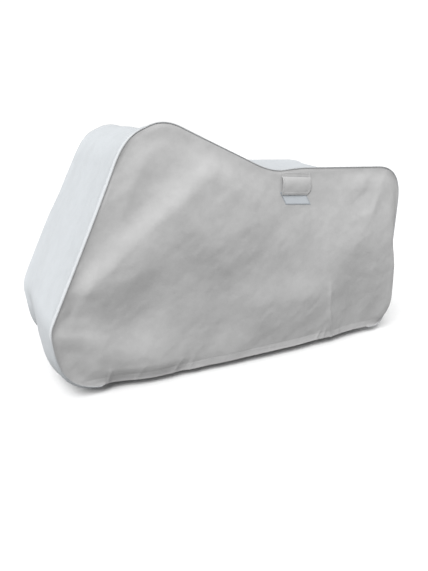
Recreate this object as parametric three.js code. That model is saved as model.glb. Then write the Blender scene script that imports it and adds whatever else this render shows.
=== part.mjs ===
// A fitted quad bike cover in the shape it takes when it is pulled on: two grey side panels, one pale strip
// that runs over nose, handlebar, seat and tail between them, dark piping in both seams, a vent flap and a
// bare tag. Millimetres. x runs from nose to tail, y across with the flap on the -y side, z up from the hem.

import * as THREE from "three";
import { mergeVertices } from "three/addons/utils/BufferGeometryUtils.js";

function table(columns, rows) {
  return rows.map((row) => Object.fromEntries(columns.map((name, i) => [name, row[i]])));
}

// Cloth and seams
const CLOTH = 1.5;
const HEM_CLOTH = 2 * CLOTH; // the hem is turned in once
const GAP = 0.3; // clearance between sewn pieces
const PIPING_RADIUS = 3;
const SEAM_CLEARANCE = PIPING_RADIUS + GAP;
const HALF_WIDTH = 432.5; // centre plane to seam
const SIDES = { left: -1, right: 1 };

// The cover hangs on this point, just under the crown of the strip. It becomes the origin.
const ORIGIN = { x: -450, z: 1201.9 };

// Mesh steps: columns from nose to tail, rows from hem to top, steps across the strip and round the piping
const COLUMNS = 52;
const ROWS = 26;
const STRIP_STEPS = 6;
const PIPING_SIDES = 6;
const COLUMN_CROWDING = 0.6; // 0 spaces the columns evenly, 1 crowds them at both ends
const HEM_SHARE = 0.034; // share of the height that the hem takes
const SEAM_SAMPLES = 500; // points that distances to the seam are taken from
const BOX_BACK = 5; // which group of a box's squares is its back
const SQUARE_INDICES = 6; // two triangles

// Side outline of the seam, from the front hem over the top to the rear hem. Each corner is rounded, starting
// `before` it and ending `after` it.
const OUTLINE = [
  { place: "front hem", x: -800, z: 6, before: 0, after: 0 },
  { place: "under nose", x: -1016, z: 14, before: 214, after: 258 },
  { place: "nose", x: -1024, z: 338, before: 60, after: 70 },
  { place: "handlebar front", x: -632, z: 1157, before: 120, after: 80 },
  { place: "handlebar top", x: -444, z: 1238, before: 80, after: 95 },
  { place: "seat", x: 118, z: 987, before: 115, after: 80 },
  { place: "rack", x: 290, z: 1003, before: 60, after: 60 },
  { place: "tail", x: 1030, z: 989, before: 180, after: 200 },
  { place: "under tail", x: 1087, z: -4, before: 220, after: 150 },
  { place: "rear hem", x: 900, z: 0, before: 0, after: 0 },
];
// Points that the hem line bends towards
const HEM_SAGS = { front: { x: -433, z: -20 }, rear: { x: 133, z: 16 } };
// Shares of the seam's length where a panel's front edge and top edge end
const PANEL_CORNERS = { handlebar: 0.312, tail: 0.742 };

// Rows of this form are soft ridges, or troughs where `height` is negative. Each runs from x0, z0 to x1, z1
// and spreads `left` and `right` of that run, with the nose on the left, and `ends` past its two ends. A fold
// in a panel dies out over the distance `fade` from the seam.
const FOLD_COLUMNS = ["place", "x0", "z0", "x1", "z1", "left", "right", "ends", "fade", "height"];

// How far the seams and panels stand in from the full half width
const WIDTH_ROWS = table(FOLD_COLUMNS, [
  ["grips", -560, 1150, -380, 1190, 300, 330, 260, 0, -32],
  ["rear seam", 1080, 0, 1070, 420, 70, 200, 330, 0, -30],
  ["hem", -800, 0, 900, 0, 110, 70, 150, 0, -8],
  ["front corner", -1000, -10, -740, -50, 150, 80, 110, 0, -28],
]);
// On the right the cover is drawn in a little more at the nose and at the front slope
const RIGHT_WIDTH_ROWS = table(FOLD_COLUMNS, [
  ["right of nose", -1030, 110, -1030, 230, 130, 130, 100, 0, -60],
  ["right front slope", -770, 880, -690, 1060, 150, 150, 130, 0, -50],
]);

// Folds and bulges of the left panel
const LEFT_ROWS = table(FOLD_COLUMNS, [
  ["body", -350, 600, 800, 600, 280, 340, 260, 120, 37],
  ["dome", -490, 1000, -430, 1005, 160, 210, 220, 120, 25],
  ["upper diagonal", -190, 1035, -400, 872, 560, 86, 100, 170, 40],
  ["lower diagonal", -520, 772, -815, 520, 240, 70, 120, 90, 32],
  ["front hollow", -600, 800, -520, 950, 80, 90, 80, 60, -8],
  ["front dip", -580, 385, -800, 315, 230, 150, 190, 140, -21],
  ["front bulge", -780, 205, -530, 100, 100, 110, 110, 90, 18],
  ["belly", 80, 297, 300, 286, 124, 270, 190, 80, 35],
  ["belly end", 360, 280, 440, 265, 140, 150, 90, 80, 7],
  ["upright", 520, 440, 550, 130, 110, 100, 200, 80, 22],
  ["rear overhang", 770, 450, 920, 440, 420, 260, 230, 80, 38],
  ["rear dip", 730, 420, 740, 140, 110, 100, 120, 80, -14],
  ["rear bulge", 1060, 380, 1060, 190, 60, 75, 170, 38, 54],
  ["tail fold", 870, 910, 680, 585, 50, 36, 70, 60, 3],
  ["rack fold", 750, 930, 486, 688, 55, 45, 70, 60, 3],
  ["rack slack", 480, 590, 640, 610, 120, 200, 100, 60, 5],
  ["seat fold", 90, 935, -148, 707, 60, 50, 70, 60, 2],
  ["seat bulge", -230, 800, -150, 850, 150, 300, 150, 120, 16],
  ["tuck", -740, 0, -400, 0, 60, 60, 30, 30, -14],
]);

// Folds and bulges of the right panel, which hangs more plainly
const RIGHT_ROWS = table(FOLD_COLUMNS, [
  ["body", -350, 590, 800, 590, 280, 300, 260, 120, 36],
  ["dome", -560, 980, -440, 990, 160, 200, 100, 120, 23],
  ["upper diagonal", -180, 1050, -410, 870, 560, 90, 100, 170, 34],
  ["lower diagonal", -530, 760, -820, 505, 240, 85, 100, 90, 28],
  ["front dip", -550, 390, -860, 310, 180, 150, 190, 60, -20],
  ["front bulge", -890, 200, -490, 70, 105, 110, 95, 90, 20],
  ["belly", 60, 310, 400, 290, 140, 160, 170, 80, 18],
  ["upright", 500, 500, 530, 40, 130, 70, 130, 80, 20],
  ["rear overhang", 740, 390, 910, 380, 300, 240, 180, 80, 27],
  ["rear dip", 740, 400, 740, 130, 120, 120, 120, 80, -12],
  ["rear bulge", 1060, 450, 1060, 140, 60, 80, 95, 38, 58],
  ["tail fold", 850, 905, 640, 610, 52, 42, 70, 60, 5],
]);

// How far the middle of the strip stands out from the line between its seams, by share of the seam
const STRIP_CROWN = [
  { place: "front hem", at: 0, crown: 6 },
  { place: "under nose", at: 0.06, crown: 14 },
  { place: "nose", at: 0.11, crown: 8 },
  { place: "front slope", at: 0.2, crown: 5 },
  { place: "handlebar front", at: 0.31, crown: -4 },
  { place: "handlebar top", at: 0.355, crown: -10 },
  { place: "behind handlebar", at: 0.42, crown: -26 },
  { place: "seat", at: 0.49, crown: -16 },
  { place: "rack", at: 0.58, crown: -24 },
  { place: "rack end", at: 0.68, crown: -46 },
  { place: "tail", at: 0.745, crown: -26 },
  { place: "rear", at: 0.86, crown: 10 },
  { place: "rear hem", at: 1, crown: -14 },
];

// Puffs and folds of the strip: `at` a share of the seam, `across` from -1 at the left seam to 1 at the right
const STRIP_PUFFS = [
  { place: "left of nose", at: 0.03, across: -0.62, along: 0.046, wide: 0.42, height: 44 },
  { place: "right of nose", at: 0.074, across: 0.6, along: 0.034, wide: 0.55, height: -62 },
  { place: "slope ridge", at: 0.2, across: 0.12, along: 0.08, wide: 0.28, height: 9 },
  { place: "crown trough", at: 0.37, across: -0.45, along: 0.05, wide: 0.35, height: -14 },
  { place: "slope trough", at: 0.19, across: -0.45, along: 0.07, wide: 0.25, height: -7 },
  { place: "seat ridge", at: 0.5, across: 0.35, along: 0.05, wide: 0.3, height: 8 },
  { place: "rear left fold", at: 0.87, across: -0.4, along: 0.06, wide: 0.3, height: 9 },
  { place: "rear right fold", at: 0.89, across: 0.45, along: 0.06, wide: 0.3, height: 8 },
];

// Vent flap: a flat band sewn to the left panel, below which it swells out like a hood and turns down. `band`
// is the share of its height that is sewn, `turn` the part of a half wave that the hood follows, `rise` how low
// its crest sits and `close` the share of its lift that is lost at the rear edge. It hangs askew: `tilt` lowers
// its rear end, `lean` brings its lower front corner forward and `curl` its lower rear corner.
const FLAP = { front: 182, rear: 362, top: 984, bottom: 873, seat: 1.6 };
const FLAP_CUT = { tilt: 10, lean: 14, curl: 30 };
const FLAP_HOOD = { band: 0.2, lift: 14, turn: 0.88, close: 0.7, rise: 0.65 };
const FLAP_STEPS = { columns: 8, rows: 10 };
// Bare tag, sewn flat on the panel, its top edge under the flap
const TAG = { front: 162, rear: 324, top: 886, bottom: 823, seat: 1.6, cloth: 1 };
const TAG_CUT = { tilt: 10, slant: 36 };
const TAG_STEPS = { columns: 8, rows: 4 };

const COLOURS = { panel: 0xb5b5b6, strip: 0xdce3e8, piping: 0x76797c, tag: 0xb4bac0 };
const ROUGHNESS = { panel: 0.85, strip: 0.8, piping: 0.75, tag: 0.6 };

function softRow(row, x, z) {
  const runX = row.x1 - row.x0;
  const runZ = row.z1 - row.z0;
  const length = Math.hypot(runX, runZ);
  const along = ((x - row.x0) * runX + (z - row.z0) * runZ) / length;
  const aside = ((z - row.z0) * runX - (x - row.x0) * runZ) / length;
  const past = Math.max(0, -along, along - length);
  const spread = aside > 0 ? row.left : row.right;
  return row.height * Math.exp(-((aside / spread) ** 2) - (past / row.ends) ** 2);
}

function sumRows(rows, x, z) {
  return rows.reduce((sum, row) => sum + softRow(row, x, z), 0);
}

// Adds up folds that die out towards the seam, which is `edge` away
function sumFolds(rows, x, z, edge) {
  return rows.reduce((sum, row) => sum + softRow(row, x, z) * THREE.MathUtils.smoothstep(edge, 0, row.fade), 0);
}

function buildSeam(outline) {
  const corners = outline.map((corner) => new THREE.Vector2(corner.x, corner.z));
  const path = new THREE.Path([corners[0]]);
  for (let i = 1; i < corners.length - 1; i++) {
    const enter = corners[i - 1].clone().sub(corners[i]).setLength(outline[i].before).add(corners[i]);
    const leave = corners[i + 1].clone().sub(corners[i]).setLength(outline[i].after).add(corners[i]);
    path.lineTo(enter.x, enter.y);
    path.quadraticCurveTo(corners[i].x, corners[i].y, leave.x, leave.y);
  }
  const last = corners[corners.length - 1];
  path.lineTo(last.x, last.y);
  return path;
}

const seam = buildSeam(OUTLINE);
const seamSamples = seam.getSpacedPoints(SEAM_SAMPLES);

function halfWidth(side, x, z) {
  const drawnIn = side === SIDES.right ? sumRows(RIGHT_WIDTH_ROWS, x, z) : 0;
  return HALF_WIDTH + sumRows(WIDTH_ROWS, x, z) + drawnIn;
}

// A point of the seam with the outward direction in the side view
function seamStation(at) {
  const reach = 0.0005;
  const point = seam.getPoint(at);
  const ahead = seam.getPoint(Math.min(1, at + reach));
  const behind = seam.getPoint(Math.max(0, at - reach));
  const run = ahead.sub(behind).normalize();
  const half = (side) => halfWidth(side, point.x, point.y);
  return { at, x: point.x, z: point.y, outX: -run.y, outZ: run.x, half };
}

function crowd(share) {
  return share - (COLUMN_CROWDING * Math.sin(2 * Math.PI * share)) / (2 * Math.PI);
}

// The first row of a panel is its hem
function rowShare(row) {
  return row === 0 ? 0 : HEM_SHARE + ((1 - HEM_SHARE) * (row - 1)) / (ROWS - 1);
}

const rowShares = Array.from({ length: ROWS + 1 }, (_, row) => rowShare(row));
const columnShares = Array.from({ length: COLUMNS + 1 }, (_, column) => crowd(column / COLUMNS));
const frontEdge = rowShares.map((share) => seamStation(PANEL_CORNERS.handlebar * share));
const topEdge = columnShares.map((share) =>
  seamStation(THREE.MathUtils.lerp(PANEL_CORNERS.handlebar, PANEL_CORNERS.tail, share)),
);
const rearEdge = rowShares.map((share) => seamStation(1 - (1 - PANEL_CORNERS.tail) * share));
const stations = [...frontEdge, ...topEdge.slice(1, -1), ...rearEdge.toReversed()];

// Where a panel's edge stops short of its piping
function inset(station) {
  const x = station.x - station.outX * SEAM_CLEARANCE;
  const z = station.z - station.outZ * SEAM_CLEARANCE;
  return new THREE.Vector2(x, z);
}

const hemLine = new THREE.CubicBezierCurve(
  inset(frontEdge[0]),
  new THREE.Vector2(HEM_SAGS.front.x, HEM_SAGS.front.z),
  new THREE.Vector2(HEM_SAGS.rear.x, HEM_SAGS.rear.z),
  inset(rearEdge[0]),
);

// Spreads a panel's grid between its four edges in the side view (a Coons patch)
function panelPlace(column, row) {
  const u = columnShares[column];
  const v = rowShares[row];
  const hem = hemLine.getPoint(u);
  const top = inset(topEdge[column]);
  const front = inset(frontEdge[row]);
  const rear = inset(rearEdge[row]);
  const place = hem.multiplyScalar(1 - v).addScaledVector(top, v);
  place.addScaledVector(front, 1 - u).addScaledVector(rear, u);
  place.addScaledVector(inset(frontEdge[0]), -(1 - u) * (1 - v));
  place.addScaledVector(inset(rearEdge[0]), -u * (1 - v));
  place.addScaledVector(inset(frontEdge[ROWS]), -(1 - u) * v);
  place.addScaledVector(inset(rearEdge[ROWS]), -u * v);
  return place;
}

function distanceToSeam(x, z) {
  return Math.min(...seamSamples.map((point) => Math.hypot(point.x - x, point.y - z)));
}

// How far the outer face of a panel stands from the centre plane
function panelHeight(side, rows, x, z) {
  return halfWidth(side, x, z) + sumFolds(rows, x, z, distanceToSeam(x, z) - SEAM_CLEARANCE);
}

// A point on a panel, `depth` in from its outer face
function panelPoint(side, rows, x, z, depth) {
  const reach = 1;
  const heightAt = (atX, atZ) => panelHeight(side, rows, atX, atZ);
  const height = heightAt(x, z);
  const slopeX = (heightAt(x + reach, z) - heightAt(x - reach, z)) / (2 * reach);
  const slopeZ = (heightAt(x, z + reach) - heightAt(x, z - reach)) / (2 * reach);
  const out = new THREE.Vector3(-slopeX, 1, -slopeZ).normalize();
  return new THREE.Vector3(x - out.x * depth, side * (height - out.y * depth), z - out.z * depth);
}

// Moves every point of a closed unit solid, which has its middle at the origin, to its place on the cover
function shape(solid, place) {
  solid.deleteAttribute("normal");
  solid.deleteAttribute("uv");
  const geometry = mergeVertices(solid);
  const positions = geometry.getAttribute("position");
  for (let i = 0; i < positions.count; i++) {
    const point = place(positions.getX(i) + 0.5, positions.getY(i) + 0.5, positions.getZ(i) + 0.5);
    positions.setXYZ(i, point.x, point.y, point.z);
  }
  geometry.computeVertexNormals();
  return geometry;
}

// Cuts the squares of a box's back along the same diagonals as those of its front, so that the two faces of a
// sheet stay apart where the cloth twists
function matchDiagonals(box) {
  const corners = box.getIndex().array;
  const back = box.groups[BOX_BACK];
  for (let i = back.start; i < back.start + back.count; i += SQUARE_INDICES) {
    const [a, b, d, , c] = corners.slice(i, i + SQUARE_INDICES);
    corners.set([a, b, c, a, c, d], i);
  }
}

function sheet(columns, rows, place) {
  const solid = new THREE.BoxGeometry(1, 1, 1, columns, rows, 1);
  matchDiagonals(solid);
  return shape(solid, (u, v, face) => place(Math.round(u * columns), Math.round(v * rows), face));
}

function sidePanel(side, foldRows) {
  return sheet(COLUMNS, ROWS, (column, row, face) => {
    const place = panelPlace(side === SIDES.left ? column : COLUMNS - column, row);
    const cloth = row <= 1 ? HEM_CLOTH : CLOTH;
    return panelPoint(side, foldRows, place.x, place.y, cloth * (1 - face));
  });
}

function stripCrown(at) {
  const next = Math.max(1, STRIP_CROWN.findIndex((row) => row.at >= at));
  const before = STRIP_CROWN[next - 1];
  const after = STRIP_CROWN[next];
  const blend = THREE.MathUtils.smoothstep(at, before.at, after.at);
  return THREE.MathUtils.lerp(before.crown, after.crown, blend);
}

function stripHeight(at, across) {
  const arch = 1 - across ** 2;
  const puffs = STRIP_PUFFS.reduce((sum, puff) => {
    const farAlong = ((at - puff.at) / puff.along) ** 2;
    const farAcross = ((across - puff.across) / puff.wide) ** 2;
    return sum + puff.height * Math.exp(-farAlong - farAcross);
  }, 0);
  return arch * (stripCrown(at) + puffs);
}

function centreStrip() {
  const last = stations.length - 1;
  return sheet(last, STRIP_STEPS, (index, step, face) => {
    const station = stations[index];
    const across = 1 - (2 * step) / STRIP_STEPS;
    const cloth = index <= 1 || index >= last - 1 ? HEM_CLOTH : CLOTH;
    const out = stripHeight(station.at, across) - cloth * face;
    const y = across * (station.half(across > 0 ? SIDES.right : SIDES.left) - SEAM_CLEARANCE);
    return new THREE.Vector3(station.x + station.outX * out, y, station.z + station.outZ * out);
  });
}

function piping(side) {
  const last = stations.length - 1;
  const solid = new THREE.CylinderGeometry(0.5, 0.5, 1, PIPING_SIDES, last);
  return shape(solid, (a, along, b) => {
    const index = Math.round(along * last);
    const station = stations[side === SIDES.right ? index : last - index];
    const out = (a - 0.5) * 2 * PIPING_RADIUS;
    const y = side * (station.half(side) + (b - 0.5) * 2 * PIPING_RADIUS);
    return new THREE.Vector3(station.x + station.outX * out, y, station.z + station.outZ * out);
  });
}

function hoodLift(along, drop) {
  const free = Math.max(0, (drop - FLAP_HOOD.band) / (1 - FLAP_HOOD.band));
  const wave = Math.sin(Math.PI * FLAP_HOOD.turn * free ** FLAP_HOOD.rise);
  return FLAP_HOOD.lift * wave * (1 - FLAP_HOOD.close * along ** 3);
}

function ventFlap() {
  return sheet(FLAP_STEPS.columns, FLAP_STEPS.rows, (column, row, face) => {
    const along = column / FLAP_STEPS.columns;
    const drop = 1 - row / FLAP_STEPS.rows;
    const front = FLAP.front - FLAP_CUT.lean * drop;
    const rear = FLAP.rear - FLAP_CUT.curl * drop ** 6;
    const x = THREE.MathUtils.lerp(front, rear, along);
    const z = THREE.MathUtils.lerp(FLAP.top, FLAP.bottom, drop) - FLAP_CUT.tilt * along;
    const lift = FLAP.seat + hoodLift(along, drop);
    return panelPoint(SIDES.left, LEFT_ROWS, x, z, -lift - CLOTH * face);
  });
}

function bareTag() {
  return sheet(TAG_STEPS.columns, TAG_STEPS.rows, (column, row, face) => {
    const along = column / TAG_STEPS.columns;
    const drop = 1 - row / TAG_STEPS.rows;
    const x = THREE.MathUtils.lerp(TAG.front, TAG.rear, along) + TAG_CUT.slant * drop;
    const z = THREE.MathUtils.lerp(TAG.top, TAG.bottom, drop) - TAG_CUT.tilt * along;
    return panelPoint(SIDES.left, LEFT_ROWS, x, z, -TAG.seat - TAG.cloth * face);
  });
}

const cover = new THREE.Group();
cover.position.set(-ORIGIN.x, 0, -ORIGIN.z);

function addPiece(name, geometry, cloth) {
  const material = new THREE.MeshStandardMaterial({
    color: COLOURS[cloth],
    roughness: ROUGHNESS[cloth],
    metalness: 0,
  });
  const mesh = new THREE.Mesh(geometry, material);
  mesh.name = name;
  cover.add(mesh);
}

addPiece("side_panel_left", sidePanel(SIDES.left, LEFT_ROWS), "panel");
addPiece("side_panel_right", sidePanel(SIDES.right, RIGHT_ROWS), "panel");
addPiece("centre_strip", centreStrip(), "strip");
addPiece("piping_left", piping(SIDES.left), "piping");
addPiece("piping_right", piping(SIDES.right), "piping");
addPiece("vent_flap", ventFlap(), "panel");
addPiece("tag", bareTag(), "tag");

const part = new THREE.Group();
part.add(cover);

export default part;
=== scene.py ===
# Looks of a fitted quad bike cover in the shape it takes when it is pulled on: two grey side panels, one pale
# strip over nose, crown, seat and tail, grey piping in both seams, a vent flap, a bare tag and their sewing.
# The tables are in millimetres in the cover's own frame: x from nose to tail, y across with the flap on the
# -y side, z up from the hem. Meshes are made in metres in the part's frame.

from collections import namedtuple
from math import pi, radians

import bpy
import numpy as np
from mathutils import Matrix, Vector


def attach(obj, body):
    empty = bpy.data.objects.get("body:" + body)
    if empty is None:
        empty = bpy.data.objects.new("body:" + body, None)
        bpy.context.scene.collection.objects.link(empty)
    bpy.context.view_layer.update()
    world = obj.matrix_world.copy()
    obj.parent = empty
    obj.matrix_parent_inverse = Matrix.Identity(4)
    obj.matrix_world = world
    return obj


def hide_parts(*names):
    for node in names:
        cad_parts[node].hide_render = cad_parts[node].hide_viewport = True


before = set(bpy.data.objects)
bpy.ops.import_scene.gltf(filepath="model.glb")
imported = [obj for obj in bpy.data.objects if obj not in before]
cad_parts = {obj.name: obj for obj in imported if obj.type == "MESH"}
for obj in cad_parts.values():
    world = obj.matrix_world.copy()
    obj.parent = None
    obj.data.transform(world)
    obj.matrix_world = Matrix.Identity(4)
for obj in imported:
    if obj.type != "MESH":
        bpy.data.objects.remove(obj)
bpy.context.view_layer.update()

# Frame. A side is named by the sign of y.
MM = 0.001
ORIGIN = np.array((-450.0, 0.0, 1201.9))
LEFT = -1
RIGHT = 1
BODY = "root"

# Cloth and seams. The hem is doubled and thins out over a short step. Creases die out towards the seam.
CLOTH = 1.5
HEM_CLOTH = 2 * CLOTH
HEM_HEIGHT = 46.0
HEM_STEP = 4.0
GAP = 0.3
PIPING_RADIUS = 3.0
SEAM_CLEARANCE = PIPING_RADIUS + GAP
HALF_WIDTH = 432.5
CREASE_FADE = 16.0

# Mesh steps and samples. Points are compared with the seam in chunks.
COLUMNS = 330
ROWS = 140
STRIP_COLUMNS = 440
STRIP_ROWS = 84
PIPING_STEPS = 700
PIPING_SIDES = 12
CROWDING = 0.3
SEAM_SAMPLES = 2400
CORNER_SAMPLES = 32
CREASE_SAMPLES = 14
RIM_STEPS = 4
# How closely a panel's columns stand, by share of its length: closest at both seams and at the upright pinch
Density = namedtuple("Density", "at columns")
COLUMN_DENSITY = [
    Density(0, 2.2),
    Density(0.06, 1.2),
    Density(0.7, 1.0),
    Density(0.75, 2.4),
    Density(0.82, 2.4),
    Density(0.87, 1.0),
    Density(0.95, 1.2),
    Density(1, 2.2),
]
HEM_SAMPLES = 200
DENSITY_SAMPLES = 2000
CHUNK = 4000
# Steps over which directions are measured: a share of the seam, and millimetres on the cloth
SEAM_STEP = 0.0005
SLOPE_STEP = 1.0

# Side outline of the seam, from the front hem over the top to the rear hem. Each corner is rounded, starting
# `before` it and ending `after` it.
Corner = namedtuple("Corner", "place x z before after")
OUTLINE = [
    Corner("front hem", -800, 6, 0, 0),
    Corner("under nose", -1000, 24, 196, 256),
    Corner("nose", -1021, 338, 38, 44),
    Corner("handlebar front", -627, 1156, 120, 80),
    Corner("handlebar top", -444, 1238, 80, 95),
    Corner("seat", 118, 987, 115, 80),
    Corner("rack", 290, 1003, 60, 60),
    Corner("tail", 1030, 989, 180, 200),
    Corner("under tail", 1087, -4, 220, 150),
    Corner("rear hem", 900, 0, 0, 0),
]
# Points that the hem line bends towards
HEM_SAGS = {"front": np.array((-433.0, -20.0)), "rear": np.array((133.0, 16.0))}
# Shares of the seam where a panel's front edge and top edge end
HANDLEBAR_AT = 0.312
TAIL_AT = 0.742

# Soft ridges, or troughs where the height is negative: each runs from x0, z0 to x1, z1 and spreads left and
# right of that run, and past its ends. A fold in a panel dies out over the distance `fade` from the seam. The
# width folds draw seams and panels in from the full half width.
Fold = namedtuple("Fold", "place x0 z0 x1 z1 left right ends fade height")
WIDTH_FOLDS = [
    Fold("grips", -560, 1150, -380, 1190, 300, 330, 260, 0, -32),
    Fold("rear seam", 1080, 0, 1070, 420, 70, 200, 330, 0, -30),
    Fold("hem", -800, 0, 900, 0, 110, 70, 150, 0, -8),
    Fold("front corner", -1000, -10, -740, -50, 150, 80, 110, 0, -28),
]
RIGHT_WIDTH_FOLDS = [
    Fold("right of nose", -1030, 110, -1030, 225, 130, 130, 105, 0, -112),
    Fold("right front slope", -770, 880, -690, 1060, 150, 150, 130, 0, -50),
]
LEFT_FOLDS = [
    Fold("body", -350, 600, 800, 600, 280, 340, 260, 120, 37),
    Fold("dome", -490, 1000, -430, 1005, 160, 210, 220, 112, 29),
    Fold("upper diagonal", -183, 1026, -393, 863, 560, 86, 100, 170, 40),
    Fold("lower diagonal", -520, 772, -815, 520, 240, 70, 120, 90, 32),
    Fold("front hollow", -600, 800, -520, 950, 80, 90, 80, 60, -8),
    Fold("front dip", -580, 385, -780, 321, 230, 150, 180, 140, -21),
    Fold("nose hollow", -884, 460, -892, 400, 60, 90, 50, 60, -13),
    Fold("nose pucker", -1000, 304, -860, 264, 36, 70, 50, 60, 9),
    Fold("under nose pucker", -1010, 205, -880, 190, 85, 140, 60, 50, -10),
    Fold("front low", -470, 335, -310, 335, 150, 170, 90, 80, 12),
    Fold("front bulge", -780, 205, -530, 100, 100, 110, 110, 90, 18),
    Fold("belly", 80, 297, 300, 286, 124, 320, 190, 80, 34),
    Fold("belly end", 360, 280, 440, 265, 140, 150, 90, 80, 4),
    Fold("upright", 520, 440, 550, 130, 110, 100, 200, 80, 18),
    Fold("rear overhang", 770, 450, 920, 440, 420, 260, 230, 80, 38),
    Fold("rear dip", 730, 420, 740, 140, 110, 100, 120, 80, -14),
    Fold("rear bulge", 1060, 380, 1060, 190, 60, 75, 170, 38, 58),
    Fold("tail fold", 870, 910, 680, 585, 50, 36, 70, 60, 3),
    Fold("rack fold", 750, 930, 486, 688, 55, 45, 70, 60, 3),
    Fold("rack slack", 480, 590, 640, 610, 120, 200, 100, 60, 5),
    Fold("seat fold", 90, 935, -148, 707, 60, 50, 70, 60, 2),
    Fold("seat bulge", -230, 800, -150, 850, 150, 300, 150, 120, 16),
]
RIGHT_FOLDS = [
    Fold("body", -350, 590, 800, 590, 280, 300, 260, 120, 36),
    Fold("dome", -560, 980, -440, 990, 160, 200, 100, 120, 23),
    Fold("upper diagonal", -180, 1050, -410, 870, 560, 90, 100, 170, 34),
    Fold("lower diagonal", -530, 760, -820, 505, 240, 85, 100, 90, 28),
    Fold("front dip", -550, 390, -860, 310, 180, 150, 190, 60, -20),
    Fold("front bulge", -890, 200, -490, 70, 105, 110, 95, 90, 20),
    Fold("belly", 60, 310, 400, 290, 140, 160, 170, 80, 18),
    Fold("upright", 500, 500, 530, 40, 130, 70, 130, 80, 20),
    Fold("rear overhang", 740, 390, 910, 380, 300, 240, 180, 80, 27),
    Fold("rear dip", 740, 400, 740, 130, 120, 120, 120, 80, -12),
    Fold("rear bulge", 1060, 450, 1060, 140, 60, 80, 95, 38, 58),
    Fold("tail fold", 850, 905, 640, 610, 52, 42, 70, 60, 5),
]

# Finer creases: each bends from x0, z0 past xm, zm to x1, z1 and dies out at both ends. A low power makes its
# crest sharp.
Crease = namedtuple("Crease", "place x0 z0 xm zm x1 z1 left right height power")
LEFT_CREASES = [
    Crease("upright pinch", 500, 380, 512, 200, 608, -80, 18, 13, 13, 1.3),
    Crease("trough edge", -330, 622, -600, 560, -880, 486, 50, 40, 2, 2),
    Crease("band edge", -130, 1080, -300, 985, -430, 868, 80, 40, 3, 1.9),
    Crease("mid diagonal", 70, 800, -70, 720, -190, 690, 34, 30, 3, 1.9),
    Crease("upper streak", -20, 960, -140, 890, -240, 850, 30, 26, 2, 2),
    Crease("tail streak", 866, 890, 800, 790, 745, 680, 26, 20, 5, 1.6),
    Crease("tail wedge", 815, 775, 710, 722, 600, 695, 34, 26, 4, 1.7),
    Crease("rack streak", 800, 980, 690, 935, 560, 840, 34, 26, 1.5, 1.8),
    Crease("rack line", 800, 905, 690, 810, 545, 760, 30, 24, -3, 1.8),
    Crease("rear line", 600, 408, 740, 362, 905, 330, 18, 20, -1.3, 1.8),
    Crease("rear dent", 620, 400, 650, 384, 680, 356, 10, 10, -2, 1.6),
    Crease("tuck fold", -772, -20, -770, 40, -758, 100, 8, 11, 7, 1.5),
    Crease("tuck ridge", -640, -20, -625, 30, -590, 90, 18, 14, 3, 1.7),
    Crease("tuck end", -450, -25, -425, 30, -375, 90, 16, 12, 4, 1.7),
    Crease("hem pucker front", -352, -20, -346, 40, -318, 80, 12, 14, 3, 1.8),
    Crease("hem pucker ridge", -232, -10, -190, 90, -85, 190, 70, 140, 8, 1.9),
    Crease("hem pucker upright", 462, -20, 476, 30, 498, 80, 12, 10, 3, 1.7),
    Crease("hem pucker beside", 520, -20, 524, 40, 530, 90, 11, 10, 3, 1.7),
    Crease("hem pucker behind", 648, -20, 645, 40, 630, 120, 13, 12, 3, 1.7),
]
RIGHT_CREASES = [
    Crease("upright pinch", 502, 340, 510, 190, 552, -60, 26, 18, 9, 1.4),
    Crease("trough edge", -340, 616, -600, 556, -860, 492, 40, 28, 5, 1.8),
    Crease("tail streak", 846, 880, 780, 780, 720, 680, 26, 22, 5, 1.6),
    Crease("rack streak", 760, 975, 650, 925, 520, 830, 34, 28, 3, 1.8),
    Crease("hem pucker front", -330, -20, -312, 50, -280, 115, 10, 10, 5, 1.6),
    Crease("hem pucker beside", 455, -20, 465, 40, 480, 95, 10, 10, 5, 1.6),
]

# Unevenness of the whole cloth: soft random humps, longer along a heading in degrees than across it
Unevenness = namedtuple("Unevenness", "place along across heading height seed")
LEFT_UNEVENNESS = [
    Unevenness("pulls", 330, 105, 42, 2.6, 3),
    Unevenness("dents", 120, 64, 18, 1.0, 11),
    Unevenness("wrinkles", 74, 27, 38, 0.6, 23),
    Unevenness("crumples", 58, 30, -24, 0.5, 31),
]
RIGHT_UNEVENNESS = [
    Unevenness("pulls", 310, 110, 40, 2.4, 5),
    Unevenness("dents", 115, 66, 15, 1.0, 17),
    Unevenness("wrinkles", 76, 28, 40, 0.6, 29),
    Unevenness("crumples", 60, 30, -20, 0.5, 37),
]
STRIP_UNEVENNESS = [
    Unevenness("streaks", 430, 84, 3, 2.6, 41),
    Unevenness("dents", 140, 72, 14, 0.8, 43),
    Unevenness("wrinkles", 80, 30, -12, 0.4, 47),
]
UNEVEN_CELLS = 64

# The hem, by x: how far it is drawn in, and how far its edge flares out again
Hem = namedtuple("Hem", "place at draw flare")
LEFT_HEM = [
    Hem("front seam", -900, 0, 0),
    Hem("before the tuck", -790, 3, 0),
    Hem("front of the tuck", -764, 14, 0),
    Hem("rear of the tuck", -400, 15, 1),
    Hem("puckers", -320, 4, 3),
    Hem("middle", -60, 1, 4),
    Hem("wedge", 340, 2, 11),
    Hem("upright", 580, 3, 5),
    Hem("rear", 960, 2, 0),
]
RIGHT_HEM = [
    Hem("front seam", -900, 0, 0),
    Hem("front", -700, 14, 1),
    Hem("puckers", -300, 9, 4),
    Hem("middle", 300, 9, 8),
    Hem("rear", 960, 2, 2),
]
DRAW_HEIGHT = 84.0
FLARE_HEIGHT = 64.0

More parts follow.
